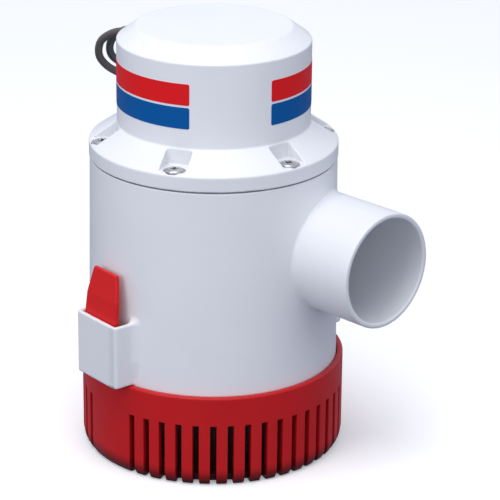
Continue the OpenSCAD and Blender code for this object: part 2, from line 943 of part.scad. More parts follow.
module impeller_vanes() {
    linear_extrude(backplate_low - impeller_low + 0.5)
        for (i = [0 : vane_count - 1])
            rotate(i * 360 / vane_count)
                intersection() {
                    difference() {
                        translate([0, vane_arc_r]) circle(r = vane_arc_r + vane_t / 2);
                        translate([0, vane_arc_r]) circle(r = vane_arc_r - vane_t / 2);
                    }
                    difference() {
                        circle(r = impeller_r - 0.5);
                        circle(r = hub_r - 1);
                    }
                    translate([0, -vane_t]) square([impeller_r, impeller_r]);
                }
}

module impeller() {
    color([0.15, 0.15, 0.17])
        difference() {
            union() {
                translate([0, 0, backplate_low]) cylinder(r = impeller_r, h = backplate_t);
                translate([0, 0, impeller_low]) cylinder(r = hub_r, h = hub_top - impeller_low);
                translate([0, 0, impeller_low]) impeller_vanes();
            }
            translate([0, 0, impeller_low - past])
                cylinder(r = bearing_bore_r, h = hub_top - impeller_low + 2 * past);
        }
}

module impeller_washer() {
    color(steel)
        translate([0, 0, impeller_low - washer_t]) tube(thread_r + 0.1, washer_r, washer_t);
}

module impeller_nut() {
    color(steel)
        translate([0, 0, impeller_low - washer_t - nut_h])
            difference() {
                cylinder(r = nut_r, h = nut_h, $fn = 6);
                translate([0, 0, -past]) cylinder(r = thread_r + 0.02, h = nut_h + 2 * past);
            }
}

strainer_base();
release_tab_front();
release_tab_rear();
lead_coil();
coil_tie();
pump_housing();
housing_gasket();
motor_cover();
cover_screws();
pod_seal_ring();
motor_pod();
shaft_seal();
motor_can();
drive_end_plate();
brush_end_bell();
motor_tie_bolts();
field_magnets();
lower_bearing_outer_race();
upper_bushing();
brush_holders();
carbon_brushes();
brush_springs();
lead_grommet();
inner_lead_black();
inner_lead_brown();
lead_black();
lead_brown();
trim_band_red();
trim_band_blue();
motor_shaft();
lower_bearing_inner_race();
lower_bearing_balls();
armature_core();
armature_windings();
commutator();
impeller();
impeller_washer();
impeller_nut();
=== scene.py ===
"""The looks of the bilge pump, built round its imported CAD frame.

Shapes are worked out in millimetres and turned into metres when they become meshes. The
moulded parts are surfaces of distance fields, so that their edges and inner corners are
rounded as a moulding's are.
"""

import json
from math import ceil, cos, pi, radians, sin, tan

import bpy
import numpy as np
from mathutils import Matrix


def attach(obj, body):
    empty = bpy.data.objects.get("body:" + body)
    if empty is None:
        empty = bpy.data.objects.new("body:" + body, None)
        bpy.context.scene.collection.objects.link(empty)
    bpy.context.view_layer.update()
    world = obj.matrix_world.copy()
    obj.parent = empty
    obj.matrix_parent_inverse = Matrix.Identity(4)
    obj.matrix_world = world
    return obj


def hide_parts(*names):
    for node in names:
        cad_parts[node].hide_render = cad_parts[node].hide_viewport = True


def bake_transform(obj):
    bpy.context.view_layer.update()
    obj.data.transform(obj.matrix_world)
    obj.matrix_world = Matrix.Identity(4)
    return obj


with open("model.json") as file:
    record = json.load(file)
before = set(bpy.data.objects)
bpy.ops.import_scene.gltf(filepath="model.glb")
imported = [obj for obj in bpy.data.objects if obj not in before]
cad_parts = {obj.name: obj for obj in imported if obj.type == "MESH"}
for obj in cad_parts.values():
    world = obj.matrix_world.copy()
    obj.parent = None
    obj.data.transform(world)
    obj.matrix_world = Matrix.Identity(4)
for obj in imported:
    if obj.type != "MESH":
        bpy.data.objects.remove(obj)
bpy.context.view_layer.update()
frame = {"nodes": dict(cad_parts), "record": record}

import openvdb
from mathutils import Matrix, Vector

MM = 0.001
NODES = frame["nodes"]
FINE = 1.0


# --- Camera -------------------------------------------------------------------------------

# The place is in metres, the roll in degrees, and the lens and sensor in millimetres.
CAMERA_PLACE = (0.7544, -0.7259, 0.4883)
CAMERA_FORWARD = (-0.6630, 0.6585, -0.3563)
CAMERA_ROLL = 0.602
CAMERA_LENS, SENSOR_W = 178.65, 36


def make_camera():
    """The photograph's viewpoint, as fitted to its ellipses and upright edges."""
    data = bpy.data.cameras.new("camera")
    data.sensor_width = SENSOR_W
    data.lens = CAMERA_LENS
    data.clip_end = 20
    camera = bpy.data.objects.new("camera", data)
    bpy.context.scene.collection.objects.link(camera)
    forward = Vector(CAMERA_FORWARD).normalized()
    right = forward.cross(Vector((0, 0, 1))).normalized()
    up = right.cross(forward)
    roll = radians(CAMERA_ROLL)
    x_axis = right * cos(roll) + up * sin(roll)
    y_axis = up * cos(roll) - right * sin(roll)
    turn = Matrix((x_axis, y_axis, -forward)).transposed()
    camera.matrix_world = Matrix.Translation(CAMERA_PLACE) @ turn.to_4x4()
    bpy.context.scene.camera = camera


make_camera()


# --- Mesh helpers -------------------------------------------------------------------------

def unit(v):
    """A vector, or each row of an array, at length 1."""
    v = np.asarray(v, float)
    return v / np.linalg.norm(v, axis=-1, keepdims=True)


def mesh_piece(name, points, faces, normals=None):
    """A new object from points in millimetres."""
    mesh = bpy.data.meshes.new(name)
    mesh.from_pydata(np.asarray(points, float) * MM, [], faces)
    mesh.update()
    mesh.polygons.foreach_set("use_smooth", np.ones(len(mesh.polygons), bool))
    if normals is not None:
        mesh.normals_split_custom_set_from_vertices(normals)
    piece = bpy.data.objects.new(name, mesh)
    bpy.context.scene.collection.objects.link(piece)
    return piece


def points_of(mesh):
    """A mesh's points in millimetres."""
    points = np.zeros(len(mesh.vertices) * 3)
    mesh.vertices.foreach_get("co", points)
    return points.reshape(-1, 3) / MM


def note_hollows(mesh, numbers):
    """Stores how deep in a hollow each point lies, from 0 to 1, for the materials' painted shade.
    """
    layer = mesh.attributes.new("hollow", "FLOAT", "POINT")
    layer.data.foreach_set("value", numbers.astype(np.float32))


def joined(parts):
    """Points and faces of several (points, faces) meshes as one."""
    points, faces, count = [], [], 0
    for some, their_faces in parts:
        points.extend(some)
        faces.extend([tuple(i + count for i in face) for face in their_faces])
        count += len(some)
    return points, faces


def tube_mesh(path, section, side=None, closed=False):
    """(points, faces) of a section, a list of (across, along side) offsets, swept along a path.

    The section keeps to the given side direction, or else turns as little as it can.
    """
    path = np.asarray(path, float)
    count = len(path)
    if closed:
        ahead, behind = np.roll(path, -1, axis=0), np.roll(path, 1, axis=0)
    else:
        ahead = np.vstack([path[1:], path[-1:]])
        behind = np.vstack([path[:1], path[:-1]])
    heading = unit(ahead - behind)
    points = []
    v = unit(side if side is not None else np.cross(heading[0], (0.3, 0.5, 0.81)))
    for place, t in zip(path, heading):
        v = unit(v - t * np.dot(v, t)) if side is None else v
        u = unit(np.cross(v, t))
        w = unit(np.cross(t, u))
        points.extend(place + a * u + b * w for a, b in section)
    n = len(section)
    faces = []
    for i in range(count if closed else count - 1):
        a, b = i * n, (i + 1) % count * n
        for k in range(n):
            m = (k + 1) % n
            faces.append((a + k, a + m, b + m, b + k))
    if not closed:
        faces.append(tuple(range(n - 1, -1, -1)))
        faces.append(tuple(range((count - 1) * n, count * n)))
    return points, faces


def ring_section(radius, sides):
    """A round section for tube_mesh."""
    return [(radius * cos(2 * pi * k / sides), radius * sin(2 * pi * k / sides))
            for k in range(sides)]


def smooth_path(route, step):
    """A Catmull-Rom curve through a route's points, in even steps."""
    route = np.asarray(route, float)
    ends = np.vstack([2 * route[0] - route[1], route, 2 * route[-1] - route[-2]])
    fine = []
    for a, b, c, d in zip(ends, ends[1:], ends[2:], ends[3:]):
        for t in np.arange(0, 1, 0.05):
            fine.append(0.5 * (2 * b + (c - a) * t + (2 * a - 5 * b + 4 * c - d) * t ** 2
                               + (3 * b - a - 3 * c + d) * t ** 3))
    fine = np.array(fine + [route[-1]])
    along = np.concatenate([[0], np.cumsum(np.linalg.norm(np.diff(fine, axis=0), axis=1))])
    places = np.linspace(0, along[-1], ceil(along[-1] / step) + 1)
    return np.stack([np.interp(places, along, fine[:, i]) for i in range(3)], axis=1)


def path_length(path):
    """The length of a line of points."""
    return float(np.linalg.norm(np.diff(path, axis=0), axis=1).sum())


# --- Slots --------------------------------------------------------------------------------

piece_slots = {}


def give_slot(piece, slot):
    """Names a piece's material slot, and keeps it until the materials are put on."""
    piece_slots[piece] = slot


# --- Supply leads -------------------------------------------------------------------------

LEAD_D, LEAD_LENGTH = 3.6, 800
LEAD_STEP = 1.6
BROWN_ROUTE = [
    (-47.5, -2.5, 180), (-55.5, -2.5, 180), (-63, -3.5, 178), (-69.5, -5, 173),
    (-72.5, -3.5, 165.5), (-72, 1, 159.5), (-69, 7, 155), (-66.5, 13, 150),
    (-65, 17.5, 143.5), (-64, 20.5, 136), (-63.5, 21.5, 128), (-63.5, 22.5, 120),
    (-64, 23.5, 112), (-64, 24, 104), (-64, 24.5, 96), (-64, 25, 88), (-64.5, 25.5, 79.5),
    (-65, 25.5, 71.5), (-65, 26, 63.5), (-65.5, 26, 55.5), (-65.5, 27, 47.5),
    (-64, 28.5, 39.5), (-62, 30.5, 32), (-58, 34.5, 26), (-53, 39.5, 22),
]
BLACK_ROUTE = [
    (-47.5, 2.5, 180), (-56, 2.5, 180), (-63.5, 1.5, 177.5), (-69.5, 1, 171.5),
    (-72, 3.5, 164.5), (-71, 9.5, 159), (-68.5, 15.5, 153.5), (-67.5, 20, 146.5),
    (-67, 23, 139), (-67, 24, 130.5), (-67, 25, 122.5), (-67.5, 25.5, 114),
    (-67.5, 26, 106), (-67.5, 26.5, 97.5), (-67.5, 26.5, 89.5), (-68, 27, 81),
    (-68, 27.5, 73), (-68.5, 28, 64.5), (-69, 28, 56), (-68.5, 29, 48), (-67, 30.5, 40),
    (-65, 33, 32.5), (-61, 37, 26.5), (-56, 42, 22.5),
]
COIL_CENTRE = (-64, 61)
COIL_TOP, COIL_BOTTOM = 20.8, 2.6
COIL_START = -43.5
BROWN_COIL_R, BLACK_COIL_R = 22.6, 19.0

# A strand's radius and its distance from the lead's middle, then the spacing of its points, how
# far inside the jacket it starts, and how strongly it bends.
STRAND_R, STRAND_RING = 0.37, 0.78
STRAND_STEP, STRAND_ROOT, STRAND_BEND = 0.62, 0.6, 0.022


def coil(radius, turns):
    """Points of a coil that winds down, counter-clockwise from above."""
    count = ceil(turns * 24)
    return [
        (COIL_CENTRE[0] + radius * cos(radians(COIL_START) + 2 * pi * turns * i / count),
         COIL_CENTRE[1] + radius * sin(radians(COIL_START) + 2 * pi * turns * i / count),
         COIL_TOP + (COIL_BOTTOM - COIL_TOP) * i / count)
        for i in range(count + 1)
    ]


def lead_path(route, radius):
    """The whole lead: its run down to the floor, and the rest of its length in the coil."""
    turns = 4
    for _ in range(4):
        path = smooth_path(route + coil(radius, turns), LEAD_STEP)
        turns += (LEAD_LENGTH - path_length(path)) / (2 * pi * radius)
    return path


def strand_mesh(path):
    """The bare end: six strands twisted round a seventh, bending slightly inwards."""
    end = path[-1]
    heading = unit(path[-1] - path[-2])
    outward = unit([end[0] - COIL_CENTRE[0], end[1] - COIL_CENTRE[1], 0])
    up = np.array([0, 0, 1])
    strands = []
    for k in range(7):
        off = 0 if k == 6 else STRAND_RING
        wire = []
        for i in range(13):
            turn = 2 * pi * (k / 6 + i / 24)
            along = STRAND_STEP * i
            wire.append(end + heading * (along - STRAND_ROOT) - outward * STRAND_BEND * along ** 2
                        + off * (cos(turn) * outward + sin(turn) * up))
        strands.append(tube_mesh(wire, ring_section(STRAND_R, 8)))
    return joined(strands)


def make_lead(name, slot, route, radius, *nodes):
    """A lead with its bare end; it runs from the pump to the strainer's side."""
    path = lead_path(route, radius)
    lead = mesh_piece(name, *tube_mesh(path, ring_section(LEAD_D / 2, 16)))
    bare = mesh_piece(name + "_strands", *strand_mesh(path))
    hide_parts(*nodes)
    give_slot(lead, slot)
    give_slot(bare, "winding_copper")
    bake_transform(lead)
    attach(bare, "strainer")
    return lead, bare, path


lead_brown, strands_brown, brown_path = make_lead(
    "lead_brown_looped", "lead_jacket_brown", BROWN_ROUTE, BROWN_COIL_R, "lead_brown", "lead_coil")
lead_black, strands_black, black_path = make_lead(
    "lead_black_looped", "lead_jacket", BLACK_ROUTE, BLACK_COIL_R, "lead_black")


# --- Distance fields ----------------------------------------------------------------------

# How far out from a surface the materials look for a facing wall, to find its hollows.
HOLLOW_REACHES = (0.8, 2.4)


def rounded(corners):
    """A closed outline's points: each (x, y, radius) corner turned on an arc."""
    points = []
    for i, (x, y, radius) in enumerate(corners):
        here = np.array((x, y), float)
        if radius == 0:
            points.append(here)
            continue
        a = unit(np.array(corners[i - 1][:2]) - here)
        b = unit(np.array(corners[(i + 1) % len(corners)][:2]) - here)
        half = np.arccos(np.clip(np.dot(a, b), -1, 1)) / 2
        centre = here + unit(a + b) * radius / sin(half)
        start = here + a * radius / tan(half) - centre
        sweep = pi - 2 * half
        if a[0] * b[1] - a[1] * b[0] > 0:
            sweep = -sweep
        steps = max(3, ceil(abs(sweep) / radians(12)))
        for k in range(steps + 1):
            c, s = cos(sweep * k / steps), sin(sweep * k / steps)
            points.append(centre + (c * start[0] - s * start[1], s * start[0] + c * start[1]))
    return np.array(points)


def outline(corners):
    """Signed distance to a closed outline with rounded corners, negative inside."""
    points = rounded(corners)
    edges = list(zip(points, np.roll(points, -1, axis=0)))

    def distance(x, y):
        nearest = np.full(np.broadcast(x, y).shape, 1e9)
        inside = np.zeros(nearest.shape, bool)
        for (ax, ay), (bx, by) in edges:
            ex, ey = bx - ax, by - ay
            size = ex * ex + ey * ey
            if size < 1e-12:
                continue
            px, py = x - ax, y - ay
            t = np.clip((px * ex + py * ey) / size, 0, 1)
            nearest = np.minimum(nearest, (px - t * ex) ** 2 + (py - t * ey) ** 2)
            if ay != by:
                inside ^= ((ay > y) != (by > y)) & (px < ex * py / ey)
        return np.where(inside, -1, 1) * np.sqrt(nearest)

    return distance


def turned(corners):
    """A solid of revolution about Z, from the outline of its half section.

    A whole layer at one height is read from a line of samples, which is much faster.
    """
    section = outline(corners)
    spacing = 0.1

    def field(x, y, z):
        r = np.hypot(x, y)
        if np.ndim(z):
            return section(r, z)
        samples = np.arange(0, r.max() + 2 * spacing, spacing)
        return np.interp(r, samples, section(samples, z))

    return field


def block(rounding, *sizes):
    """A block, or a flat shape run on without end, from (distance from middle, half size)s."""
    inner = [np.abs(d) - half + rounding for d, half in sizes]
    far = np.sqrt(sum(np.maximum(q, 0) ** 2 for q in inner))
    near = inner[0]
    for q in inner[1:]:
        near = np.maximum(near, q)
    return far + np.minimum(near, 0) - rounding


def join(a, b, fillet):
    """The union of two fields, with a fillet in the inner corner."""
    return (np.maximum(fillet, np.minimum(a, b))
            - np.hypot(np.maximum(fillet - a, 0), np.maximum(fillet - b, 0)))


def common(a, b, rounding):
    """What two fields share, with rounded edges."""
    return -join(-a, -b, rounding)


def cut(a, b, rounding):
    """The first field without the second, with rounded edges."""
    return -join(-a, b, rounding)


def turned_to(x, y, angle):
    """x and y seen from axes turned by an angle in degrees."""
    c, s = cos(radians(angle)), sin(radians(angle))
    return x * c + y * s, y * c - x * s


def nearest_of(x, y, angles):
    """x and y turned so that the nearest of even angles lies along X."""
    step = 2 * pi / len(angles)
    turn = np.arctan2(y, x) - radians(angles[0])
    turn = turn - np.round(turn / step) * step
    r = np.hypot(x, y)
    return r * np.cos(turn), r * np.sin(turn)


def slope(points, field, e):
    """The field's gradient at each point."""
    parts = []
    for i in range(3):
        off = np.zeros(3)
        off[i] = e
        parts.append((field(*(points + off).T) - field(*(points - off).T)) / (2 * e))
    return np.stack(parts, axis=1)


def settle(points, field, reach):
    """Moves points onto the field's surface."""
    for _ in range(3):
        away = slope(points, field, 0.02)
        size = np.maximum((away ** 2).sum(axis=1), 0.25)
        move = np.clip(field(*points.T) / size, -reach, reach)
        points = points - away * move[:, None]
    return points


def thin_out(piece, keep):
    """Leaves a share of a piece's triangles, mostly where the surface bends."""
    thin = piece.modifiers.new("thin", "DECIMATE")
    thin.ratio = keep
    graph = bpy.context.evaluated_depsgraph_get()
    piece.data = bpy.data.meshes.new_from_object(piece.evaluated_get(graph))
    piece.modifiers.clear()


def moulding(name, field, low, high, step, keep=0.3):
    """A piece whose surface is where the field is zero, inside the box low to high."""
    step = step * FINE

    # The first surface comes from samples of the field on a grid, and is moved onto the field.
    axes = [np.arange(a - 2 * step, b + 2.1 * step, step) for a, b in zip(low, high)]
    x, y = axes[0][:, None], axes[1][None, :]
    shape = (len(axes[0]), len(axes[1]))
    band = 3 * step
    values = np.stack([np.clip(np.broadcast_to(field(x, y, z), shape), -band, band)
                       for z in axes[2]], axis=2).astype(np.float32)
    grid = openvdb.FloatGrid(band)
    grid.copyFromArray(values)
    points, quads = grid.convertToQuads()
    points = settle(points * step + [a[0] for a in axes], field, step)
    a, b, c = (points[quads[:, i]] for i in range(3))
    if (np.cross(b - a, c - a) * slope((a + b + c) / 3, field, 0.05)).sum() < 0:
        quads = quads[:, ::-1]
    piece = mesh_piece(name, points, quads)
    thin_out(piece, keep)

    # The thinned surface is moved onto the field again, which also gives exact normals.
    mesh = piece.data
    points = np.clip(settle(points_of(mesh), field, step / 2), low, high)
    mesh.vertices.foreach_set("co", (points * MM).ravel())
    normals = unit(slope(points, field, 0.08) + 1e-9)
    hollow = sum(np.clip(1 - field(*(points + normals * reach).T) / reach, 0, 1)
                 for reach in HOLLOW_REACHES)
    note_hollows(mesh, hollow / len(HOLLOW_REACHES))
    mesh.update()
    mesh.polygons.foreach_set("use_smooth", np.ones(len(mesh.polygons), bool))
    mesh.normals_split_custom_set_from_vertices(normals)
    return piece


# --- Strainer base ------------------------------------------------------------------------

TAB_ANGLES = (-96, 84)
STRAINER_R, RIM_Z = 59.5, 42.2
SLOT_COUNT, SLOT_W, SLOT_TOP, SLOT_IN = 48, 2.7, 28.6, 53.8
SLOT_PITCH = 360 / SLOT_COUNT
SOCKET_R, SOCKET_Z = 56.8, 38.2
CHAMBER_R, FLOOR_TOP = 55.2, 3
TAB_HALF, GROOVE_HALF, GROOVE_IN = 11.2, 0.45, 58.8
BASE_CIRCLE, BASE_HOLE_R, BASE_BOSS_R, BASE_BOSS_MIDDLE, BASE_BOSS_HALF = 38.1, 2.75, 6.5, 3, 2.5
RIB_HALF, RIB_MIDDLE, RIB_REACH, RIB_MIDDLE_Z, RIB_HALF_H = 1, 48.5, 5.7, 4.5, 3.5
NO_SLOT = 9.0

strainer_wall = turned([
    (-5, 0, 0), (57.6, 0, 0.6), (59, 2.4, 1.5), (STRAINER_R, 5, 2),
    (STRAINER_R, RIM_Z, 0.9), (SOCKET_R, RIM_Z, 0.5), (SOCKET_R, SOCKET_Z, 0.4),
    (CHAMBER_R, SOCKET_Z, 0.5), (CHAMBER_R, FLOOR_TOP, 1.2), (-5, FLOOR_TOP, 0),
])


def strainer_field(x, y, z):
    """The wall with its slots, a groove each side of each tab, bosses, ribs and screw holes."""
    body = strainer_wall(x, y, z)
    from_tab = np.abs((np.degrees(np.arctan2(y, x)) - TAB_ANGLES[0] + 270) % 180 - 90)
    slot_angles = [TAB_ANGLES[0] + i * SLOT_PITCH for i in range(SLOT_COUNT)]
    along, across = nearest_of(x, y, slot_angles)
    slot = block(0.3, (across, SLOT_W / 2), (along - SLOT_IN - 10, 10), (z - SLOT_TOP + 30, 30))
    slot = np.where(from_tab > 1.5 * SLOT_PITCH, slot, NO_SLOT)
    body = cut(body, slot, 0.35)
    for angle in TAB_ANGLES:
        u, v = turned_to(x, y, angle)
        groove = block(0.1, (np.abs(v) - TAB_HALF, GROOVE_HALF), (u - GROOVE_IN - 5, 5))
        body = cut(body, groove, 0.2)
    u, v = nearest_of(x, y, (0, 90, 180, 270))
    reach = np.hypot(u - BASE_CIRCLE, v)
    boss = block(0.5, (reach, BASE_BOSS_R), (z - BASE_BOSS_MIDDLE, BASE_BOSS_HALF))
    body = join(body, boss, 1)
    u, v = nearest_of(x, y, [22.5 + 45 * i for i in range(8)])
    rib = block(0.3, (v, RIB_HALF), (u - RIB_MIDDLE, RIB_REACH), (z - RIB_MIDDLE_Z, RIB_HALF_H))
    body = join(body, rib, 0.5)
    return cut(body, np.broadcast_to(reach - BASE_HOLE_R, body.shape), 0.4)


strainer = moulding("strainer_moulding", strainer_field, (-STRAINER_R, -STRAINER_R, 0),
                    (STRAINER_R, STRAINER_R, RIM_Z), 0.5, 0.34)
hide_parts("strainer_base")
give_slot(strainer, "strainer_plastic")
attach(strainer, "strainer")


# --- Release tabs -------------------------------------------------------------------------

TAB_IN, TAB_OUT, TAB_FOOT, TAB_TOP = 57.2, 63.1, 42.45, 93
TAB_SHOULDER, TAB_SHOULDER_HALF, TAB_TIP_HALF = 81, 10.8, 8.2

tab_profile = outline([
    (59, TAB_FOOT, 0.3), (59, 43.65, 0.5), (TAB_OUT, 48.45, 1), (TAB_OUT, 71.6, 4),
    (62.1, TAB_SHOULDER, 3), (59.9, TAB_TOP, 0.6), (58, TAB_TOP, 0.6), (59.8, 80, 3),
    (60.8, 69.6, 3), (60.8, 49.45, 1), (TAB_IN, 44.85, 1), (TAB_IN, TAB_FOOT, 0.3),
])
tab_face = outline([
    (-TAB_HALF, 40, 0), (TAB_HALF, 40, 0), (TAB_HALF, 71.6, 2),
    (TAB_SHOULDER_HALF, TAB_SHOULDER, 1.2), (TAB_TIP_HALF, TAB_TOP, 0.7),
    (-TAB_TIP_HALF, TAB_TOP, 0.7), (-TAB_SHOULDER_HALF, TAB_SHOULDER, 1.2),
    (-TAB_HALF, 71.6, 2),
])


def tab_field(x, y, z):
    """One tab, lying along X, where its profile and its face meet."""
    return common(tab_profile(x, z), tab_face(y, z), 0.45)


def make_tab(name, node, body, angle):
    """A tab at its own place round the pump's axis."""
    tab = moulding(name, tab_field, (TAB_IN, -TAB_HALF, TAB_FOOT - 0.05),
                   (TAB_OUT, TAB_HALF, TAB_TOP), 0.32, 0.4)
    tab.data.transform(Matrix.Rotation(radians(angle), 4, "Z"))
    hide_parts(node)
    give_slot(tab, "tab_plastic")
    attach(tab, body)


make_tab("tab_front_moulding", "release_tab_front", "tab_front", TAB_ANGLES[0])
make_tab("tab_rear_moulding", "release_tab_rear", "tab_rear", TAB_ANGLES[1])


# --- Pump housing -------------------------------------------------------------------------

HOUSING_TOP = 135.3
HOUSING_R, HOUSING_TOP_R = 56.4, 55.1
OUTLET_R, BORE_R = 26, 23.6
OUTLET_X, OUTLET_Y, OUTLET_Z = 87, 20.5, 98
OUTLET_ROOT = 24
SPIGOT_FILLET = 1.3
SKIRT_R, SKIRT_Z, WALL_IN_R = 53.4, 38.3, 53.5
EYE_R, EYE_LIP_R = 23.5, 26.5
POCKET_HALF, POCKET_OUT, POCKET_LOW, POCKET_TOP = 14.5, 65.6, 42.5, 71.6
POCKET_HOLE_HALF, POCKET_HOLE_OUT, POCKET_HOLE_IN = 12.3, 63.4, 51
SCREW_CIRCLE, SCREW_HOLE_R, SCREW_HOLE_Z = 49.8, 2.05, 122
SCREW_BOSS_R, SCREW_BOSS_MIDDLE, SCREW_BOSS_HALF = 4.2, 128.5, 4.5
SCREW_ANGLES = [-3.5 + 60 * i for i in range(6)]


def wall_r(z):
    """The housing's outer radius at a height."""
    return HOUSING_R + (HOUSING_TOP_R - HOUSING_R) * (z - RIM_Z) / (HOUSING_TOP - RIM_Z)


housing_wall = turned([
    (EYE_R, 39, 0.6), (EYE_LIP_R, 39, 0.6), (EYE_LIP_R, 44, 1.2), (SKIRT_R, 44, 0.8),
    (SKIRT_R, SKIRT_Z, 0.4), (HOUSING_R, SKIRT_Z, 0.4), (HOUSING_R, RIM_Z, 0),
    (HOUSING_TOP_R, HOUSING_TOP, 0.5), (46.6, HOUSING_TOP, 0.3), (46.6, 133.4, 0),
    (42, 133.4, 0.3), (42, 131.9, 0.3), (52.35, 131.9, 0.6), (53.55, 47, 1.5), (EYE_R, 47, 0.8),
])


def housing_field(x, y, z):
    """The wall with its tab pockets, the bored spigot, and a boss with a hole for each screw."""
    body = housing_wall(x, y, z)
    for angle in TAB_ANGLES:
        u, v = turned_to(x, y, angle)
        plan = block(2.2, (u - POCKET_OUT + 10, 10), (v, POCKET_HALF))
        half_height = (POCKET_TOP - POCKET_LOW) / 2
        outer = block(0.8, (plan + 1, 1), (z - POCKET_LOW - half_height, half_height))
        inner = block(0.8, (u - POCKET_HOLE_OUT + 10, 10), (v, POCKET_HOLE_HALF))
        sleeve = cut(outer, np.maximum(inner, POCKET_HOLE_IN - u), 0.55)
        fillet = 1.4 + 2.2 * np.clip((z - 45) / 8, 0, 1)
        body = join(body, np.maximum(sleeve, WALL_IN_R - np.hypot(x, y)), fillet)
    ring = np.hypot(y - OUTLET_Y, z - OUTLET_Z)
    length = OUTLET_X - OUTLET_ROOT
    spigot = block(0.8, (ring, OUTLET_R), (x - OUTLET_ROOT - length / 2, length / 2))
    inside = np.hypot(x, y) - wall_r(z) + 1.4
    spigot = np.maximum(spigot, -inside)
    body = np.where(x > 0, join(body, spigot, SPIGOT_FILLET), body)
    body = cut(body, np.maximum(ring - BORE_R, OUTLET_ROOT + 2 - x), 0.7)
    u, v = nearest_of(x, y, SCREW_ANGLES)
    reach = np.hypot(u - SCREW_CIRCLE, v)
    boss = block(0.4, (reach, SCREW_BOSS_R), (z - SCREW_BOSS_MIDDLE, SCREW_BOSS_HALF))
    body = join(body, boss, 0.6)
    body = cut(body, np.maximum(reach - SCREW_HOLE_R, SCREW_HOLE_Z - z), 0.2)
    return np.maximum(body, z - HOUSING_TOP)


housing = moulding("housing_moulding", housing_field, (-57, -66, 36), (OUTLET_X, 66, HOUSING_TOP),
                   0.75, 0.3)
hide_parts("pump_housing")
give_slot(housing, "housing_plastic")
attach(housing, "pump")


# --- Motor cover --------------------------------------------------------------------------

COVER_Z, FLANGE_R, FLANGE_TOP = 135.9, 55.4, 142.5
CAP_R, CAP_FLAT_R, SHOULDER_TOP, CAP_EDGE, CAP_TOP = 42.9, 34.4, 150.9, 188.4, 194.5
CHANNEL_Z, CHANNEL_HALF = 143.2, 5.9
WELL_Z, WELL_R, CLEAR_HOLE_R = 142, 4.8, 2.25
COVER_IN_R, CAP_WALL = 40.3, 2.6
RING_R, RING_HALF, RING_DEPTH = 44.3, 1.4, 1.9
GROMMET_Z, LEAD_GAP = 180, 2.5

cover_wall = turned([
    (COVER_IN_R, COVER_Z, 0.2), (FLANGE_R, COVER_Z, 0.3), (FLANGE_R, FLANGE_TOP, 0.9),
    (CAP_R, SHOULDER_TOP, 0.9), (CAP_R, CAP_EDGE, 0.9), (CAP_FLAT_R, CAP_TOP, 1.5),
    (-5, CAP_TOP, 0), (-5, CAP_TOP - CAP_WALL, 0), (33.2, CAP_TOP - CAP_WALL, 1),
    (COVER_IN_R, CAP_EDGE - 1, 1),
])


def cover_field(x, y, z):
    """The wall with channels, wells and screw holes, the seal ring's groove and the lead hole."""
    body = cover_wall(x, y, z)
    u, v = nearest_of(x, y, SCREW_ANGLES)
    reach = np.hypot(u - SCREW_CIRCLE, v)
    channel = common(np.abs(v) - CHANNEL_HALF, CHANNEL_Z - z, 0.5)
    channel = common(channel, CAP_R + 0.3 - u, 0.8)
    body = cut(body, channel, 0.45)
    body = cut(body, np.maximum(reach - WELL_R, WELL_Z - z), 0.25)
    body = cut(body, np.maximum(reach - CLEAR_HOLE_R, z - WELL_Z - 1), 0.1)
    ring_groove = block(0.1, (np.hypot(x, y) - RING_R, RING_HALF), (z - COVER_Z, RING_DEPTH))
    body = cut(body, ring_groove, 0.1)
    lead_hole = block(2.6, (y, 4.9), (z - GROMMET_Z, 2.6))
    return cut(body, np.maximum(lead_hole, x + 35), 0.3)


cover = moulding("cover_moulding", cover_field, (-55.5, -55.5, COVER_Z), (55.5, 55.5, CAP_TOP),
                 0.6, 0.3)
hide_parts("motor_cover")
give_slot(cover, "housing_plastic")
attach(cover, "pump")


# --- Cover screws -------------------------------------------------------------------------

HEAD_R, HEAD_H = 4, 2.2
THREAD_PITCH, THREAD_DEPTH, THREAD_TOP = 1.25, 0.45, 140
SHANK_R, SHANK_MIDDLE, SHANK_HALF = 1.9, 134, 9
CROWN_R, CROWN_FLAT_R, CROWN_DROP = 3.6, 1.6, 1.4
CROSS_REACH, CROSS_HALF, CROSS_FLOOR = 1.8, 0.5, 1


def screw_field(x, y, z):
    """A pan head with a domed edge and a cross recess, on a threaded shank."""
    r = np.hypot(x, y)
    h = z - WELL_Z
    head = block(0.2, (r, HEAD_R), (h - HEAD_H / 2, HEAD_H / 2))
    crown = np.hypot(np.maximum(r - CROWN_FLAT_R, 0), h + CROWN_DROP) - CROWN_R
    head = common(head, crown, 0.3)
    turn = np.arctan2(y, x) / (2 * pi)
    groove = np.abs((z / THREAD_PITCH - turn) % 1 - 0.5) * 2 * THREAD_DEPTH
    run_in = np.clip((THREAD_TOP - z) / 2, 0, 1)
    shank = block(0.3, (r - groove * run_in + 0.35, SHANK_R), (z - SHANK_MIDDLE, SHANK_HALF))
    body = join(head, np.maximum(shank, h - 0.5), 0.2)
    bar = block(0.12, (x, CROSS_REACH), (y, CROSS_HALF))
    cross = np.minimum(bar, block(0.12, (x, CROSS_HALF), (y, CROSS_REACH)))
    return cut(body, np.maximum(cross, CROSS_FLOOR - h), 0.1)


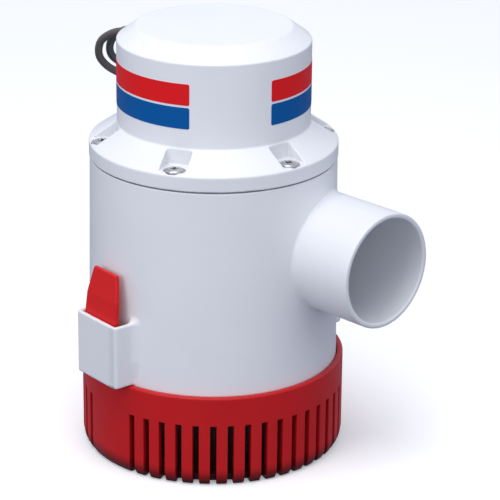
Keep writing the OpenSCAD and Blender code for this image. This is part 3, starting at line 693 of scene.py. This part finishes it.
def make_screws():
    """Six screws as one piece, each turned to its own angle."""
    one = moulding("screw_pattern", screw_field, (-HEAD_R, -HEAD_R, 125),
                   (HEAD_R, HEAD_R, WELL_Z + HEAD_H), 0.26, 0.5)
    mesh = one.data
    points = points_of(mesh)
    faces = [tuple(face.vertices) for face in mesh.polygons]
    hollow = np.zeros(len(points))
    mesh.attributes["hollow"].data.foreach_get("value", hollow)
    parts = []
    for k, angle in enumerate(SCREW_ANGLES):
        u, v = turned_to(points[:, 0], points[:, 1], -(37 * k + 12))
        u, v = turned_to(u + SCREW_CIRCLE, v, -angle)
        parts.append((np.stack([u, v, points[:, 2]], axis=1), faces))
    screws = mesh_piece("cover_screw_set", *joined(parts))
    note_hollows(screws.data, np.tile(hollow, len(parts)))
    bpy.data.objects.remove(one)
    return screws


screws = make_screws()
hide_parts("cover_screws")
give_slot(screws, "stainless_steel")
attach(screws, "pump")


# --- Grommet ------------------------------------------------------------------------------

def grommet_field(x, y, z):
    """A nose and a collar outside the cap, and a neck through its wall, bored for two leads."""
    z = z - GROMMET_Z
    nose = block(0.4, (block(2.6, (y, 4.7), (z, 2.6)), 0), (x + 45.2, 2.3))
    collar = block(0.4, (block(4.1, (y, 6.5), (z, 4.2)) + 0.4, 0), (x + 43.7, 0.8))
    neck = np.maximum(block(2.4, (y, 4.8), (z, 2.5)), np.abs(x + 41.5) - 2)
    body = join(join(nose, collar, 0.4), neck, 0.2)
    bores = np.hypot(np.abs(y) - LEAD_GAP, z) - LEAD_D / 2 - 0.06
    return cut(body, bores, 0.25)


grommet = moulding("grommet_moulding", grommet_field, (-47.5, -7, 175.5), (-39, 7, 184.5),
                   0.25, 0.5)
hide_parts("lead_grommet")
give_slot(grommet, "seal_rubber")
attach(grommet, "pump")


# --- Colour bands -------------------------------------------------------------------------

BAND_STARTS, BAND_SWEEP = (-143, -9), 85
BAND_COLUMNS, BAND_ROWS = 120, 10
BAND_RADII = (42.82, 43.02)
BAND_CORNER_TURN, BAND_CORNER_H = 0.9, 0.55


def make_band(name, node, slot, low, high):
    """Two thin films on the cap, with rounded corners."""
    points, faces = [], []
    columns, rows = BAND_COLUMNS, BAND_ROWS
    for start in BAND_STARTS:
        first = len(points)
        for i in range(columns + 1):
            along = BAND_SWEEP * i / columns
            inset = min(along, BAND_SWEEP - along, BAND_CORNER_TURN) / BAND_CORNER_TURN
            trim = BAND_CORNER_H * (1 - (1 - (1 - inset) ** 2) ** 0.5)
            turn = radians(start + along)
            for r in BAND_RADII:
                for j in range(rows + 1):
                    z = low + trim + (high - low - 2 * trim) * j / rows
                    points.append((r * cos(turn), r * sin(turn), z))
        n = 2 * (rows + 1)
        loop = list(range(rows + 1)) + list(range(n - 1, rows, -1))
        for i in range(columns):
            a, b = first + i * n, first + (i + 1) * n
            for k in range(n):
                m = (k + 1) % n
                faces.append((a + loop[k], a + loop[m], b + loop[m], b + loop[k]))
        faces.append(tuple(first + k for k in reversed(loop)))
        faces.append(tuple(first + columns * n + k for k in loop))
    band = mesh_piece(name, points, faces)
    band.data.set_sharp_from_angle(angle=radians(50))
    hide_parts(node)
    give_slot(band, slot)
    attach(band, "pump")


make_band("red_band_film", "trim_band_red", "band_red", 170.1, 179.6)
make_band("blue_band_film", "trim_band_blue", "band_blue", 159.6, 169.1)


# --- Cable tie ----------------------------------------------------------------------------

def make_tie():
    """A nylon cable tie's strap, in a loop with rounded corners round the coil."""
    near, far = 16.5, 24.8
    bottom, top, corner = 0.4, 23.4, 2.6
    corners = ((far - corner, bottom + corner), (far - corner, top - corner),
               (near + corner, top - corner), (near + corner, bottom + corner))
    loop = []
    for k, (middle_y, middle_z) in enumerate(corners):
        for a in range(0, 91, 15):
            turn = radians(90 * k - 90 + a)
            loop.append((COIL_CENTRE[0], COIL_CENTRE[1] + middle_y + corner * cos(turn),
                         middle_z + corner * sin(turn)))
    thick, face, half, flat = 0.38, 0.2, 1.9, 1.7
    strap = [(-thick, -flat), (-thick, flat), (-face, half), (face, half),
             (thick, flat), (thick, -flat), (face, -half), (-face, -half)]
    return tube_mesh(loop, strap, side=(1, 0, 0), closed=True)


tie = mesh_piece("cable_tie", *make_tie())
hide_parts("coil_tie")
give_slot(tie, "tie_nylon")
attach(tie, "strainer")


# --- Materials ----------------------------------------------------------------------------

class Shader:
    """A Principled material under construction, with its texture coordinates."""

    def __init__(self, name, colour, roughness, metallic=0.0, **sockets):
        self.material = bpy.data.materials.new(name)
        self.material.use_nodes = True
        self.tree = self.material.node_tree
        self.shader = next(n for n in self.tree.nodes if n.type == "BSDF_PRINCIPLED")
        self.shader.inputs["Metallic"].default_value = metallic
        for socket, number in sockets.items():
            self.shader.inputs[socket.replace("_", " ")].default_value = number
        self.place = self.node("ShaderNodeTexCoord").outputs["Object"]
        self.colour = self.flat(colour)
        self.roughness = None
        self.base_roughness = roughness
        self.height = None

    def node(self, kind, **inputs):
        made = self.tree.nodes.new(kind)
        for label, number in inputs.items():
            made.inputs[label.replace("_", " ")].default_value = number
        return made

    def link(self, a, b):
        self.tree.links.new(a, b)

    def flat(self, colour):
        made = self.node("ShaderNodeRGB")
        made.outputs[0].default_value = (*colour, 1)
        return made.outputs[0]

    def stretched(self, scale):
        """Coordinates scaled along the three axes, to draw a pattern out or flatten it."""
        made = self.node("ShaderNodeMapping")
        made.inputs["Scale"].default_value = scale
        self.link(self.place, made.inputs["Vector"])
        return made.outputs[0]

    def noise(self, scale, detail, place=None):
        made = self.node("ShaderNodeTexNoise", Scale=scale, Detail=detail)
        self.link(place or self.place, made.inputs["Vector"])
        return made.outputs["Fac"]

    def height_above_floor(self):
        made = self.node("ShaderNodeSeparateXYZ")
        self.link(self.place, made.inputs[0])
        return made.outputs["Z"]

    def axis_distance(self):
        made = self.node("ShaderNodeVectorMath")
        made.operation = "LENGTH"
        self.link(self.stretched((1, 1, 0)), made.inputs[0])
        return made.outputs["Value"]

    def attribute(self, name):
        made = self.node("ShaderNodeAttribute")
        made.attribute_name = name
        return made.outputs["Fac"]

    def ramp(self, value, low, high, to_low, to_high):
        """Turns the range low to high into to_low to to_high."""
        made = self.node("ShaderNodeMapRange")
        made.inputs["From Min"].default_value = low
        made.inputs["From Max"].default_value = high
        made.inputs["To Min"].default_value = to_low
        made.inputs["To Max"].default_value = to_high
        self.link(value, made.inputs["Value"])
        return made.outputs[0]

    def tint(self, colour, amount):
        """Mixes a colour in by an amount from 0 to 1."""
        made = self.node("ShaderNodeMix")
        made.data_type = "RGBA"
        first, second, mixed = made.inputs[6], made.inputs[7], made.outputs[2]
        self.link(amount, made.inputs["Factor"])
        self.link(self.colour, first)
        second.default_value = (*colour, 1)
        self.colour = mixed

    def bump(self, value, distance, strength):
        made = self.node("ShaderNodeBump", Strength=strength, Distance=distance)
        self.link(value, made.inputs["Height"])
        if self.height:
            self.link(self.height, made.inputs["Normal"])
        self.height = made.outputs[0]

    def rough(self, value, low, high):
        """Lets the roughness wander between two values."""
        self.roughness = self.ramp(value, 0.3, 0.7, low, high)

    def done(self):
        self.link(self.colour, self.shader.inputs["Base Color"])
        if self.roughness:
            self.link(self.roughness, self.shader.inputs["Roughness"])
        else:
            self.shader.inputs["Roughness"].default_value = self.base_roughness
        if self.height:
            self.link(self.height, self.shader.inputs["Normal"])
        return self.material


def plastic(name, colour, shade, rough, grain=0.03, hollows=None, gloss=0.5, bilge=None):
    """Moulded plastic: cloudy colour, fine surface grain, slight waviness, painted shade in
    hollows.

    A bilge colour is painted shade that darkens the foot and the inside of the strainer.
    """
    s = Shader(name, colour, rough, Specular_IOR_Level=gloss)
    s.tint(shade, s.ramp(s.noise(38, 4), 0.35, 0.7, 0.0, 0.5))
    if hollows:
        speckle = s.noise(420, 4)
        # Painted shade: the hollows colour darkens each point by how deep in a hollow it lies.
        s.tint(hollows, s.ramp(s.attribute("hollow"), 0.15, 0.9, 0.0, 0.75))
        s.tint(shade, s.ramp(speckle, 0.62, 0.8, 0.0, 0.25))
    # Painted shade: the bilge colour darkens the lowest 8 mm and the inside of the strainer.
    if bilge:
        s.tint(bilge, s.ramp(s.height_above_floor(), 0.001, 0.008, 0.95, 0.0))
        s.tint(bilge, s.ramp(s.axis_distance(), 0.0525, 0.0575, 0.85, 0.0))
    s.rough(s.noise(160, 5), rough - 0.05, rough + 0.07)
    s.bump(s.noise(9, 2), 0.0012, 0.25)
    s.bump(s.noise(2600, 2), 0.00006, grain * 10)
    return s.done()


def metal(name, colour, shade, rough, streak=(1, 1, 1), scale=400, dent=0.00003, dark=None):
    """Metal with streaks drawn out by the given scale, and painted shade in hollows if asked."""
    s = Shader(name, colour, rough, 1.0)
    place = s.stretched(streak)
    s.tint(shade, s.ramp(s.noise(60, 4), 0.35, 0.7, 0.0, 0.6))
    # Painted shade: the dark colour darkens each point by how deep in a hollow it lies.
    if dark:
        s.tint(dark, s.ramp(s.attribute("hollow"), 0.1, 0.7, 0.0, 0.9))
    s.rough(s.noise(scale, 5, place), rough - 0.07, rough + 0.12)
    s.bump(s.noise(scale * 2, 3, place), dent, 0.5)
    return s.done()


def matt(name, colour, shade, rough, scale=700, depth=0.00008):
    """Rubber, nylon, ferrite and other matt stuff, with a fine grain."""
    s = Shader(name, colour, rough)
    s.tint(shade, s.ramp(s.noise(90, 4), 0.35, 0.7, 0.0, 0.7))
    s.tint(shade, s.ramp(s.noise(scale, 3), 0.55, 0.75, 0.0, 0.6))
    s.rough(s.noise(scale * 0.6, 4), rough - 0.08, rough + 0.1)
    s.bump(s.noise(scale, 4), depth, 0.6)
    return s.done()


MATERIALS = {
    # The strainer's hollows and bilge colours are painted shade.
    "strainer_plastic": plastic("strainer_red", (0.60, 0.012, 0.014), (0.52, 0.010, 0.012), 0.36,
                                hollows=(0.14, 0.008, 0.008), gloss=0.25,
                                bilge=(0.03, 0.004, 0.005)),
    "tab_plastic": plastic("tab_red", (0.72, 0.012, 0.012), (0.62, 0.010, 0.010), 0.38,
                           gloss=0.25),
    # The housing's hollows colour is painted shade.
    "housing_plastic": plastic("housing_white", (0.84, 0.85, 0.875), (0.80, 0.81, 0.845), 0.36,
                               hollows=(0.42, 0.43, 0.47)),
    "black_plastic": plastic("black_moulding", (0.025, 0.025, 0.028), (0.04, 0.04, 0.042), 0.5),
    "seal_rubber": matt("black_rubber", (0.018, 0.018, 0.02), (0.035, 0.035, 0.036), 0.62),
    "gasket_rubber": matt("gasket_sheet", (0.20, 0.215, 0.26), (0.16, 0.17, 0.21), 0.6),
    "lead_jacket": matt("lead_jacket_dark", (0.06, 0.066, 0.072), (0.11, 0.118, 0.126), 0.36, 500),
    "lead_jacket_brown": matt("lead_jacket_brown", (0.08, 0.068, 0.064), (0.13, 0.112, 0.104),
                              0.4, 500),
    "tie_nylon": matt("nylon_black", (0.02, 0.02, 0.02), (0.035, 0.035, 0.035), 0.45),
    # The screws' dark colour is painted shade in their hollows.
    "stainless_steel": metal("stainless", (0.62, 0.62, 0.62), (0.5, 0.5, 0.51), 0.34,
                             dark=(0.10, 0.10, 0.11)),
    "plated_steel": metal("zinc_plate", (0.55, 0.55, 0.52), (0.42, 0.42, 0.44), 0.34),
    "bearing_steel": metal("ground_steel", (0.7, 0.7, 0.71), (0.6, 0.6, 0.62), 0.14,
                           (1, 1, 12)),
    "spring_steel": metal("drawn_wire", (0.5, 0.5, 0.5), (0.38, 0.38, 0.38), 0.3),
    "magnet_ferrite": matt("ferrite", (0.05, 0.05, 0.055), (0.09, 0.09, 0.095), 0.7, 900, 0.0001),
    "core_steel": metal("laminations", (0.3, 0.31, 0.33), (0.16, 0.17, 0.19), 0.4,
                        (0.02, 0.02, 9), 240, 0.0001),
    "winding_copper": metal("enamelled_copper", (0.55, 0.2, 0.07), (0.36, 0.11, 0.04), 0.3,
                            (1, 1, 6), 520, 0.00025),
    "commutator_copper": metal("turned_copper", (0.72, 0.36, 0.18), (0.5, 0.24, 0.12), 0.26,
                               (0.05, 0.05, 10), 300),
    "sintered_bronze": metal("bronze", (0.5, 0.33, 0.15), (0.34, 0.22, 0.11), 0.45,
                             scale=1500, dent=0.00008),
    "sheet_brass": metal("brass_sheet", (0.66, 0.48, 0.2), (0.5, 0.35, 0.14), 0.3),
    "brush_carbon": matt("carbon", (0.03, 0.03, 0.03), (0.05, 0.05, 0.052), 0.55, 1500),
    "band_red": plastic("red_ink", (0.78, 0.013, 0.016), (0.72, 0.012, 0.014), 0.4, 0.01,
                        gloss=0.12),
    "band_blue": plastic("blue_ink", (0.001, 0.092, 0.33), (0.002, 0.10, 0.36), 0.4, 0.01,
                         gloss=0.12),
}
for piece, slot in piece_slots.items():
    piece.data.materials.clear()
    piece.data.materials.append(MATERIALS[slot])
for part in frame["record"]["subparts"]:
    node = NODES[part["node"]]
    for place in node.material_slots:
        place.material = MATERIALS[part["material_slot"]]


# --- Floor and light ----------------------------------------------------------------------

FLOOR_HALF, FLOOR_DROP = 4000, 0.0002
SKY_STRENGTH = 0.95
SKY_STOPS = ((0.0, (0.16, 0.18, 0.24)), (0.44, (0.20, 0.23, 0.31)), (0.56, (0.74, 0.77, 0.88)),
             (1.0, (0.60, 0.64, 0.74)))
AIM = Vector((0, 0, 0.1))


def make_floor():
    """Pale paper that glows a little, so that it stays as light as the photograph's ground."""
    corners = [(x * FLOOR_HALF, y * FLOOR_HALF, 0) for x, y in ((-1, -1), (1, -1), (1, 1), (-1, 1))]
    floor = mesh_piece("floor", corners, [(0, 1, 2, 3)])
    floor.location.z = -FLOOR_DROP
    s = Shader("floor_paper", (0.97, 0.965, 0.96), 0.8, Emission_Strength=0.22)
    s.shader.inputs["Emission Color"].default_value = (1, 1, 1, 1)
    s.tint((0.95, 0.945, 0.94), s.ramp(s.noise(3, 3), 0.3, 0.7, 0.0, 0.4))
    floor.data.materials.append(s.done())
    floor.visible_diffuse = False
    floor.visible_glossy = False


def make_sky():
    """Soft light from all round, pale above the horizon and dark below it."""
    world = bpy.data.worlds.new("studio")
    bpy.context.scene.world = world
    world.use_nodes = True
    nodes, links = world.node_tree.nodes, world.node_tree.links
    sky = nodes["Background"]
    direction = nodes.new("ShaderNodeTexCoord")
    split = nodes.new("ShaderNodeSeparateXYZ")
    ramp = nodes.new("ShaderNodeValToRGB")
    links.new(direction.outputs["Generated"], split.inputs[0])
    rise = nodes.new("ShaderNodeMapRange")
    rise.inputs["From Min"].default_value = -1
    links.new(split.outputs["Z"], rise.inputs["Value"])
    links.new(rise.outputs[0], ramp.inputs[0])
    links.new(ramp.outputs[0], sky.inputs["Color"])
    elements = ramp.color_ramp.elements
    elements.remove(elements[1])
    elements[0].color = (*SKY_STOPS[0][1], 1)
    for place, colour in SKY_STOPS[1:]:
        elements.new(place).color = (*colour, 1)
    sky.inputs["Strength"].default_value = SKY_STRENGTH


def make_lamp(name, place, size, power, colour):
    """A soft lamp that points at the middle of the pump."""
    data = bpy.data.lights.new(name, "AREA")
    data.shape = "RECTANGLE"
    data.size, data.size_y = size
    data.energy = power
    data.color = colour
    lamp = bpy.data.objects.new(name, data)
    bpy.context.scene.collection.objects.link(lamp)
    lamp.location = place
    lamp.rotation_euler = (AIM - Vector(place)).to_track_quat("-Z", "Y").to_euler()


make_floor()
make_sky()
make_lamp("key_overhead", (0.12, -0.22, 0.85), (0.5, 0.5), 2.9, (1, 0.99, 0.96))
make_lamp("fill_front", (0.1, -1.1, 0.5), (0.5, 0.6), 2.3, (1, 0.985, 0.965))
make_lamp("fill_right", (1.0, -0.4, 0.25), (0.4, 0.4), 0.8, (1, 0.98, 0.96))
bpy.context.scene.view_settings.view_transform = "Standard"
